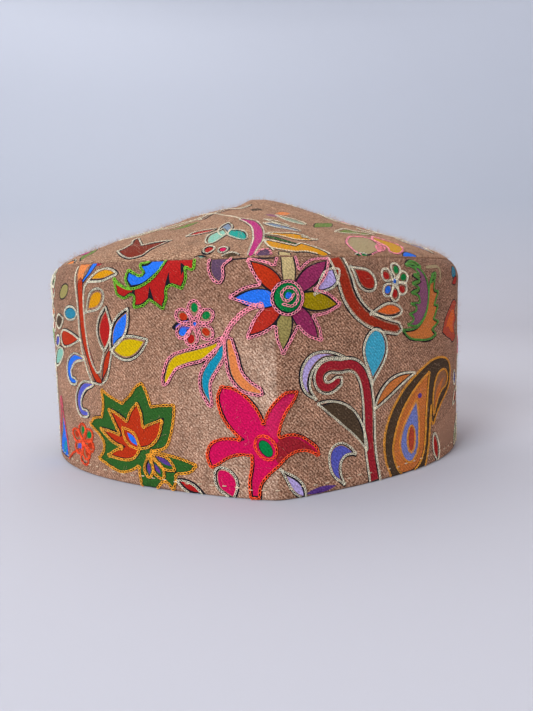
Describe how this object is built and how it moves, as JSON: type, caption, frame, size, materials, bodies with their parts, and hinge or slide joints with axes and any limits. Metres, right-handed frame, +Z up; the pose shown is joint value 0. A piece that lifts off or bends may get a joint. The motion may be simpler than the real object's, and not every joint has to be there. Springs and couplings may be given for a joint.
{
  "type": "kashmiri cap",
  "caption": "Soft round cap with an upright side band, pressed creases at front and back, and a low tented crown.",
  "frame": {"origin": "middle of the cap on the plane that its rim rests on", "axes": "+Z up towards the peak, -Y towards the front crease, +X towards the right side as seen from the front"},
  "size_m": [0.194, 0.19, 0.1195],
  "materials": {
    "band_cloth": "matte brown wool twill",
    "crown_cloth": "matte brown wool twill"
  },
  "bodies": {
    "root": {"side_band": "band_cloth", "crown": "crown_cloth"}
  },
  "joints": []
}
